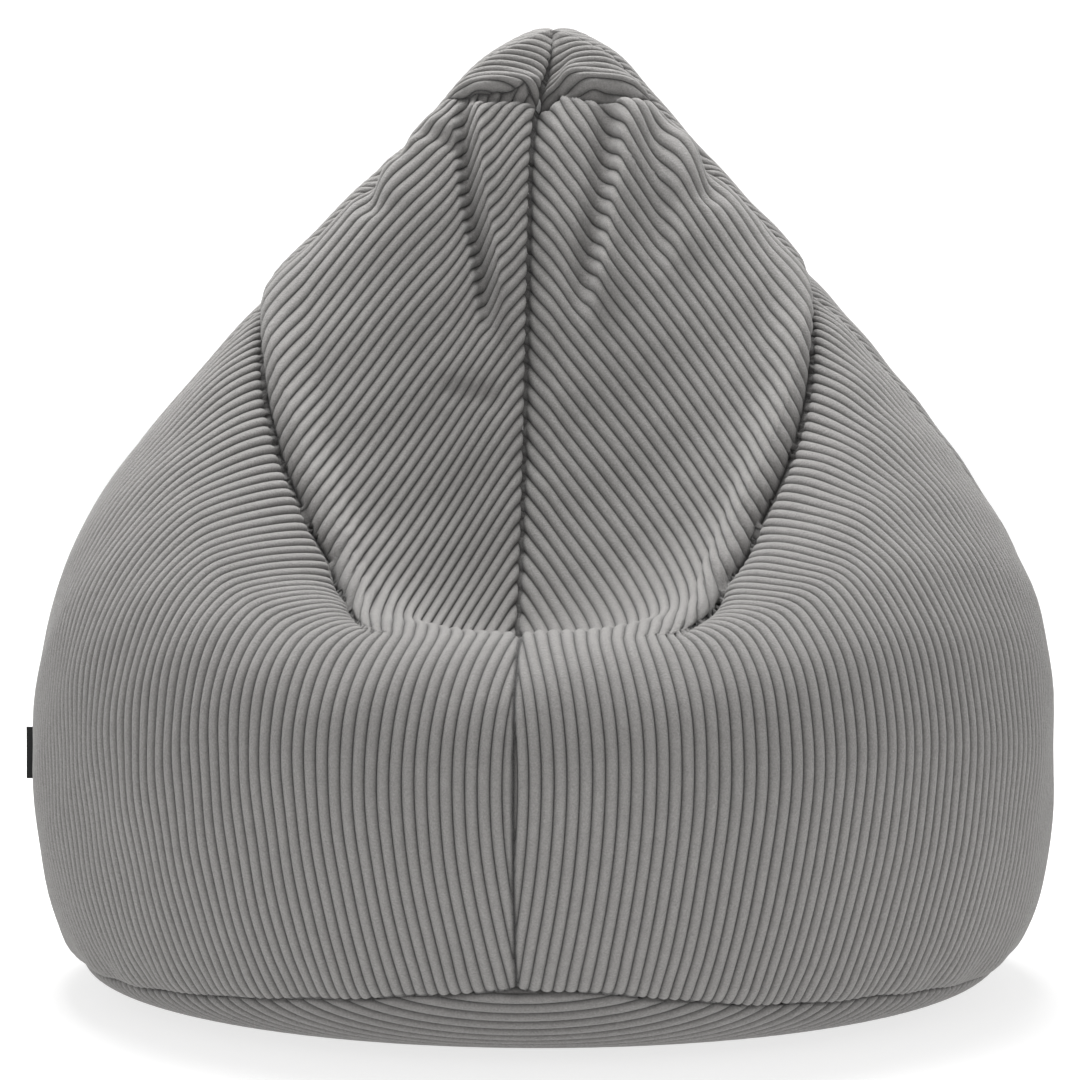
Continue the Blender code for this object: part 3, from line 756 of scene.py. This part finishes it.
def make_base_panel(material):
    points, faces, ribs = base_grid()
    points, ribs, polygons = cut_along_ribs(points, faces, ribs)
    turns, rows = plane_to_form(points)
    normals = normals_of(cover_points, turns, rows)
    one_row = np.linalg.norm(form_points(0, SEAM_ROW) - form_points(0, SEAM_ROW - 1))
    to_hem = (seam_row(turns) - rows) * one_row
    end = np.clip(to_hem / RIB_END, 0, 1)
    profile = rib_profile(ribs) * np.sqrt(1 - (1 - end) ** 2)
    places = cover_points(turns, rows) + RIB_HEIGHT * (profile - 1)[:, None] * normals
    allowance = np.full(len(places), SEAM_ALLOWANCE)
    mesh = shell_mesh("ribbed_base", places, normals, polygons, {"rib": profile}, allowance)
    add_piece("ribbed_base", mesh, material, "base_panel")


# ---- Liner, fill and label ----

def grid_mesh(name, places, closed_round, capped=False):
    index = np.arange(places.shape[0] * places.shape[1]).reshape(places.shape[:2])
    near = index if closed_round else index[:, :-1]
    beyond = np.roll(index, -1, axis=1) if closed_round else index[:, 1:]
    quads = np.stack([near[:-1], beyond[:-1], beyond[1:], near[1:]], axis=-1).reshape(-1, 4).tolist()
    if capped:
        quads += [index[0][::-1].tolist(), index[-1].tolist()]
    mesh = bpy.data.meshes.new(name)
    mesh.from_pydata(places.reshape(-1, 3).tolist(), [], quads)
    mesh.polygons.foreach_set("use_smooth", [True] * len(mesh.polygons))
    return mesh


def inner_points(turns, rows, depth):
    """A layer inside the cover, deeper along the darts."""
    turns, rows = (grid.copy() for grid in np.broadcast_arrays(turns, rows))
    points = form_points(turns, rows)
    row_length = np.linalg.norm(form_points(turns, rows + PROBE) - points, axis=-1) / PROBE
    turn = signed_turn(turns)
    to_dart = (rows - dart_row(turn)) * row_length
    deeper = DART_CLEARANCE * bump(to_dart, 0.05) * (1 - smooth(0.30, 0.40, np.abs(turn)))
    return cover_points(turns, rows) - (depth + deeper)[..., None] * normals_of(form_points, turns, rows)


def make_liner(material):
    rows = np.linspace(SEAM_ROW, INNER_TOP_ROW, INNER_STEPS)[:, None]
    for name, start in (("liner_front", -0.25), ("liner_back", 0.25)):
        turns = start + np.linspace(0, 0.5, INNER_COLUMNS // 2)
        mesh = grid_mesh(name, inner_points(turns, rows, LINER_DEPTH), closed_round=False)
        add_piece(name, mesh, material, f"{name}_panel")


def make_beads(material):
    turns = np.linspace(0, 1, INNER_COLUMNS, endpoint=False)
    rows = np.linspace(1, INNER_TOP_ROW, INNER_STEPS)[:, None]
    mesh = grid_mesh("loose_beads", inner_points(turns, rows, BEADS_DEPTH), closed_round=True, capped=True)
    add_piece("loose_beads", mesh, material, "bead_fill")


def make_side_label(material):
    """A strip folded over at its outer end, so its section is a long U."""
    root = form_points(0.75, LABEL_ROW)
    bend = np.linspace(math.pi / 2, 3 * math.pi / 2, 7)
    fold_x = -LABEL_REACH + LABEL_GAP + LABEL_GAP * np.cos(bend)
    fold_y = LABEL_GAP * np.sin(bend)
    run = np.linspace(LABEL_ROOT, -LABEL_REACH + 2 * LABEL_GAP, 9)
    x = np.concatenate([run, fold_x, run[::-1]])
    y = np.concatenate([np.full(9, LABEL_GAP), fold_y, np.full(9, -LABEL_GAP)])
    height = np.linspace(-0.5, 0.5, 25)[:, None]
    lean = 0.0012 * np.sin(2.5 * height + 0.4) * (LABEL_ROOT - x) / (LABEL_ROOT + LABEL_REACH)
    up = root[2] + LABEL_HEIGHT * height
    places = np.stack(np.broadcast_arrays(root[0] + x, root[1] + y + lean, up), axis=-1)
    mesh = grid_mesh("side_tag", places, closed_round=False)
    tag = add_piece("side_tag", mesh, material, "side_label")
    tag.modifiers.new("cloth", "SOLIDIFY").thickness = LABEL_CLOTH


# ---- Zip ----

def make_coil(name, side, material):
    """A nylon coil: a wire wound along the zip's arc."""
    back = form_points(0.5, SEAM_ROW)
    across = form_points(0.5, SEAM_ROW + PROBE) - form_points(0.5, SEAM_ROW - PROBE)
    across /= np.linalg.norm(across)
    out = np.cross((-1, 0, 0), across)
    winds = COIL_HALF_ANGLE * 2 * (back[1] - AXIS_Y) / COIL_PITCH
    phase = np.linspace(0, 2 * math.pi * winds, int(winds * COIL_STEPS))
    angle = np.linspace(-COIL_HALF_ANGLE, COIL_HALF_ANGLE, len(phase))
    wind = COIL_RADIUS - COIL_WIRE
    ring = 2 * math.pi * np.arange(WIRE_SIDES) / WIRE_SIDES
    reach = wind + COIL_WIRE * np.cos(ring)[None]
    shift_across = side * COIL_ACROSS + reach * np.cos(phase)[:, None]
    shift_out = COIL_OUT + reach * np.sin(phase)[:, None]
    along = COIL_WIRE * np.sin(ring)[None]
    place = back - np.array([0, AXIS_Y, 0]) + shift_across[..., None] * across + shift_out[..., None] * out
    turned = angle[:, None] + along / (back[1] - AXIS_Y)
    x = place[..., 0] + place[..., 1] * np.sin(turned)
    y = AXIS_Y + place[..., 1] * np.cos(turned)
    mesh = grid_mesh(name, np.stack([x, y, place[..., 2]], axis=-1), closed_round=True, capped=True)
    add_piece(name, mesh, material, name.replace("wound", "zip"))


# ---- Materials ----

class Nodes:
    """A material's node tree, with short ways to add the nodes used here."""

    def __init__(self, name):
        self.material = bpy.data.materials.new(name)
        self.material.use_nodes = True
        self.tree = self.material.node_tree
        self.shader = self.tree.nodes["Principled BSDF"]

    def add(self, kind, **settings):
        node = self.tree.nodes.new(kind)
        for key, value in settings.items():
            setattr(node, key, value)
        return node

    def link(self, output, socket):
        self.tree.links.new(output, socket)

    def noise(self, scale, detail=2.0, stretch=(1, 1, 1)):
        place = self.add("ShaderNodeTexCoord")
        mapping = self.add("ShaderNodeMapping")
        mapping.inputs["Scale"].default_value = stretch
        texture = self.add("ShaderNodeTexNoise")
        texture.inputs["Scale"].default_value = scale
        texture.inputs["Detail"].default_value = detail
        self.link(place.outputs["Object"], mapping.inputs["Vector"])
        self.link(mapping.outputs["Vector"], texture.inputs["Vector"])
        return texture.outputs["Fac"]

    def ramp(self, value, *stops):
        node = self.add("ShaderNodeValToRGB")
        elements = node.color_ramp.elements
        while len(elements) < len(stops):
            elements.new(0.5)
        for element, (position, colour) in zip(elements, stops):
            element.position = position
            element.color = (*colour, 1)
        self.link(value, node.inputs["Fac"])
        return node.outputs["Color"]

    def span(self, value, low, high):
        """A value from 0 to 1 as one from low to high."""
        node = self.add("ShaderNodeMapRange")
        node.inputs["To Min"].default_value = low
        node.inputs["To Max"].default_value = high
        self.link(value, node.inputs["Value"])
        return node.outputs["Result"]

    def scale_colour(self, colour, factor):
        node = self.add("ShaderNodeVectorMath", operation="SCALE")
        self.link(colour, node.inputs[0])
        self.link(factor, node.inputs["Scale"])
        return node.outputs["Vector"]

    def bump(self, height, distance, below=None, strength=1.0):
        node = self.add("ShaderNodeBump")
        node.inputs["Distance"].default_value = distance
        node.inputs["Strength"].default_value = strength
        self.link(height, node.inputs["Height"])
        if below is not None:
            self.link(below, node.inputs["Normal"])
        return node.outputs["Normal"]


def set_inputs(shader, values):
    for name, value in values.items():
        shader.inputs[name].default_value = value


def corduroy(name, crest, flank, groove):
    nodes = Nodes(name)
    rib = nodes.add("ShaderNodeAttribute", attribute_name="rib").outputs["Fac"]
    # The ramp over the rib height paints shade into the grooves and a highlight onto the crests; only the
    # flank colour is the cloth's own.
    colour = nodes.ramp(rib, (0.0, groove), (0.45, flank), (0.92, crest))
    for scale, detail, low, high in ((7, 2, 0.92, 1.08), (90, 3, 0.90, 1.10), (620, 2, 0.68, 1.32)):
        colour = nodes.scale_colour(colour, nodes.span(nodes.noise(scale, detail), low, high))
    nodes.link(colour, nodes.shader.inputs["Base Color"])
    fuzz = nodes.bump(nodes.noise(1400, 3), 0.0012)
    tufts = nodes.bump(nodes.noise(520, 2), 0.0014, below=fuzz, strength=0.7)
    nodes.link(tufts, nodes.shader.inputs["Normal"])
    set_inputs(nodes.shader, {"Roughness": 0.95, "Specular IOR Level": 0.15, "Sheen Weight": 0.30,
                              "Sheen Roughness": 0.45, "Sheen Tint": (0.9, 0.9, 0.9, 1)})
    return nodes.material


def woven(name, dark, light, threads, roughness=0.9):
    nodes = Nodes(name)
    place = nodes.add("ShaderNodeTexCoord")
    weave = nodes.add("ShaderNodeTexChecker")
    weave.inputs["Scale"].default_value = threads
    nodes.link(place.outputs["Object"], weave.inputs["Vector"])
    colour = nodes.ramp(weave.outputs["Fac"], (0.0, dark), (1.0, light))
    colour = nodes.scale_colour(colour, nodes.span(nodes.noise(threads / 6), 0.85, 1.15))
    nodes.link(colour, nodes.shader.inputs["Base Color"])
    nodes.link(nodes.bump(weave.outputs["Fac"], 0.0001), nodes.shader.inputs["Normal"])
    set_inputs(nodes.shader, {"Roughness": roughness, "Specular IOR Level": 0.2, "Sheen Weight": 0.1})
    return nodes.material


def bead_foam():
    nodes = Nodes("bead_foam")
    place = nodes.add("ShaderNodeTexCoord")
    cells = nodes.add("ShaderNodeTexVoronoi")
    cells.inputs["Scale"].default_value = 240
    nodes.link(place.outputs["Object"], cells.inputs["Vector"])
    # The colour darkens from each bead's middle to its edge: painted shade in the crevices between the beads.
    colour = nodes.ramp(cells.outputs["Distance"], (0.0, (0.92, 0.92, 0.91)), (1.0, (0.55, 0.55, 0.54)))
    nodes.link(colour, nodes.shader.inputs["Base Color"])
    nodes.link(nodes.bump(nodes.span(cells.outputs["Distance"], 1, 0), 0.002), nodes.shader.inputs["Normal"])
    set_inputs(nodes.shader, {"Roughness": 0.6})
    return nodes.material


def nylon():
    nodes = Nodes("nylon_coil")
    colour = nodes.ramp(nodes.noise(400), (0.3, (0.055, 0.055, 0.056)), (0.7, (0.10, 0.10, 0.10)))
    nodes.link(colour, nodes.shader.inputs["Base Color"])
    set_inputs(nodes.shader, {"Roughness": 0.38, "Specular IOR Level": 0.5})
    return nodes.material


def enamelled_metal():
    nodes = Nodes("dark_enamel")
    wear = nodes.noise(900, 4)
    dark, middle, bare = (0.16, 0.16, 0.165), (0.24, 0.24, 0.25), (0.45, 0.45, 0.45)
    colour = nodes.ramp(wear, (0.35, dark), (0.62, middle), (0.75, bare))
    nodes.link(colour, nodes.shader.inputs["Base Color"])
    nodes.link(nodes.span(wear, 0.22, 0.48), nodes.shader.inputs["Roughness"])
    nodes.link(nodes.bump(wear, 0.00003), nodes.shader.inputs["Normal"])
    set_inputs(nodes.shader, {"Metallic": 0.85})
    return nodes.material


def studio_white(name, diffuse, glow):
    nodes = Nodes(name)
    colour = nodes.ramp(nodes.noise(3), (0.3, (diffuse,) * 3), (0.7, (diffuse * 1.01,) * 3))
    nodes.link(colour, nodes.shader.inputs["Base Color"])
    set_inputs(nodes.shader, {"Roughness": 0.9, "Specular IOR Level": 0.0, "Emission Color": (1, 1, 1, 1),
                              "Emission Strength": glow})
    return nodes.material


# ---- Building ----

def build_cover():
    # Its crest and groove colours are a painted highlight and painted shade; the flank colour is the cloth's
    # own.
    cover = corduroy("grey_corduroy", crest=(0.300, 0.292, 0.284), flank=(0.215, 0.209, 0.203),
                     groove=(0.070, 0.068, 0.066))
    for side, name in ((1, "right"), (-1, "left")):
        make_ribbed_panel(f"front_{name}_cover", side, *front_ribs(side), cover, f"front_{name}_panel",
                          "cover_corduroy")
        back = back_ribs()
        make_ribbed_panel(f"back_{name}_cover", side, *back, cover, f"back_{name}_panel", "cover_corduroy")
    # Its crest and groove colours are a painted highlight and painted shade; the flank colour is the cloth's
    # own.
    base = corduroy("grey_base_corduroy", crest=(0.275, 0.267, 0.260), flank=(0.195, 0.190, 0.185),
                    groove=(0.062, 0.060, 0.058))
    make_base_panel(base)


def build_inside():
    liner = woven("liner_weave", (0.70, 0.70, 0.69), (0.84, 0.84, 0.83), 1500)
    make_liner(liner)
    make_beads(bead_foam())
    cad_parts["liner_base_panel"].data.materials.clear()
    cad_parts["liner_base_panel"].data.materials.append(liner)


def build_trim():
    tag = woven("black_weave", (0.012, 0.012, 0.013), (0.030, 0.030, 0.031), 1800, roughness=0.7)
    make_side_label(tag)
    coil = nylon()
    make_coil("wound_upper_coil", 1, coil)
    make_coil("wound_lower_coil", -1, coil)
    finishes = {
        "tape": woven("tape_weave", (0.085, 0.083, 0.081), (0.15, 0.147, 0.144), 2200),
        "coil": coil,
        "care_label": woven("satin_label", (0.78, 0.78, 0.77), (0.88, 0.88, 0.87), 2500, roughness=0.5),
        "": enamelled_metal(),
    }
    for name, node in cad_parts.items():
        if "zip" in name or name == "care_label":
            finish = next(finish for ending, finish in finishes.items() if name.endswith(ending))
            node.data.materials.clear()
            node.data.materials.append(finish)


def staged(name, mesh, material):
    data = bpy.data.meshes.new(name)
    mesh.to_mesh(data)
    mesh.free()
    obj = bpy.data.objects.new(name, data)
    bpy.context.scene.collection.objects.link(obj)
    data.materials.append(material)
    return obj


def build_studio():
    mesh = bmesh.new()
    bmesh.ops.create_circle(mesh, cap_ends=True, segments=96, radius=STUDIO_RADIUS)
    staged("studio_floor", mesh, studio_white("pale_floor", FLOOR_DIFFUSE, FLOOR_GLOW))
    mesh = bmesh.new()
    bmesh.ops.create_cone(mesh, cap_ends=False, segments=96, radius1=STUDIO_RADIUS, radius2=STUDIO_RADIUS,
                          depth=WALL_HEIGHT, matrix=Matrix.Translation((0, 0, WALL_HEIGHT / 2)))
    staged("studio_wall", mesh, studio_white("pale_wall", 0.2, WALL_GLOW))
    world = bpy.data.worlds.new("studio")
    world.use_nodes = True
    world.node_tree.nodes["Background"].inputs["Color"].default_value = (1, 1, 1, 1)
    world.node_tree.nodes["Background"].inputs["Strength"].default_value = WORLD_STRENGTH
    bpy.context.scene.world = world
    for name, place, size, power in SOFTBOXES:
        data = bpy.data.lights.new(name, "AREA")
        data.size = size
        data.energy = power
        light = bpy.data.objects.new(name, data)
        light.location = place
        light.rotation_euler = (Vector((0, 0, 0.4)) - light.location).to_track_quat("-Z", "Y").to_euler()
        bpy.context.scene.collection.objects.link(light)


def build_camera():
    flat = CAMERA_DISTANCE * math.cos(CAMERA_ELEVATION)
    height = CAMERA_DISTANCE * math.sin(CAMERA_ELEVATION)
    offset = Vector((flat * math.sin(CAMERA_AZIMUTH), -flat * math.cos(CAMERA_AZIMUTH), height))
    place = Vector(CAMERA_PIVOT) + offset
    data = bpy.data.cameras.new("camera")
    data.lens = CAMERA_LENS
    camera = bpy.data.objects.new("camera", data)
    camera.location = place
    camera.rotation_euler = (Vector(CAMERA_AIM) - place).to_track_quat("-Z", "Y").to_euler()
    bpy.context.scene.collection.objects.link(camera)
    bpy.context.scene.camera = camera


build_cover()
build_inside()
build_trim()
build_studio()
build_camera()
bpy.context.scene.view_settings.view_transform = "Standard"
